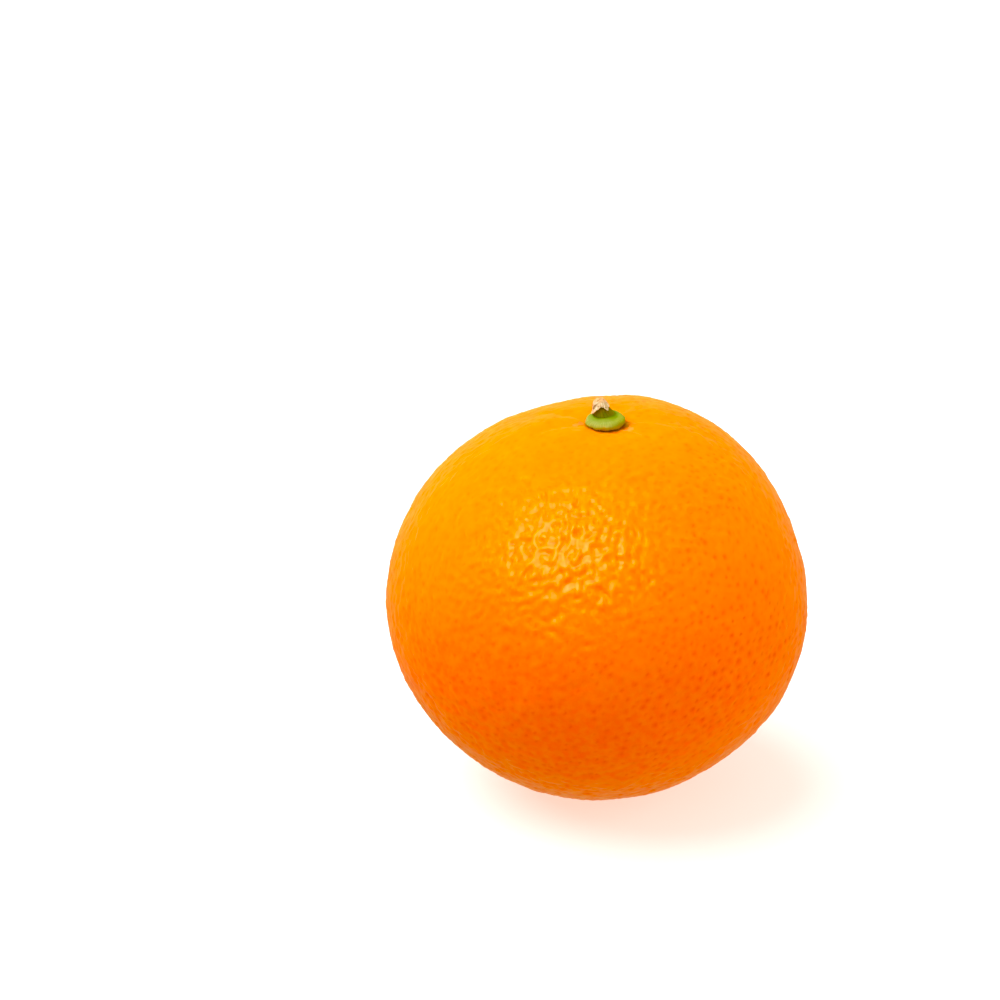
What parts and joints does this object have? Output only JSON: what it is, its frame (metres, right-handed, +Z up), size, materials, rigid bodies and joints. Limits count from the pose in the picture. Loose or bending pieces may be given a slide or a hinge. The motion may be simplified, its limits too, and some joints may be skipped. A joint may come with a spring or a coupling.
{
  "type": "orange",
  "caption": "Whole sweet orange as picked, with pitted peel, a green calyx button at the stalk end and a short dried stub of stalk.",
  "frame": {"origin": "on the surface that the fruit rests on, below the middle of its outline seen from above", "axes": "+Z up through the stalk end, -Y the front, +X to the right seen from the front"},
  "size_m": [0.0804, 0.08, 0.0791],
  "materials": {
    "peel": "satin",
    "calyx": "satin",
    "stalk": "matte"
  },
  "bodies": {
    "root": {"fruit": "peel", "calyx": "calyx", "stalk_stub": "stalk"}
  },
  "joints": []
}
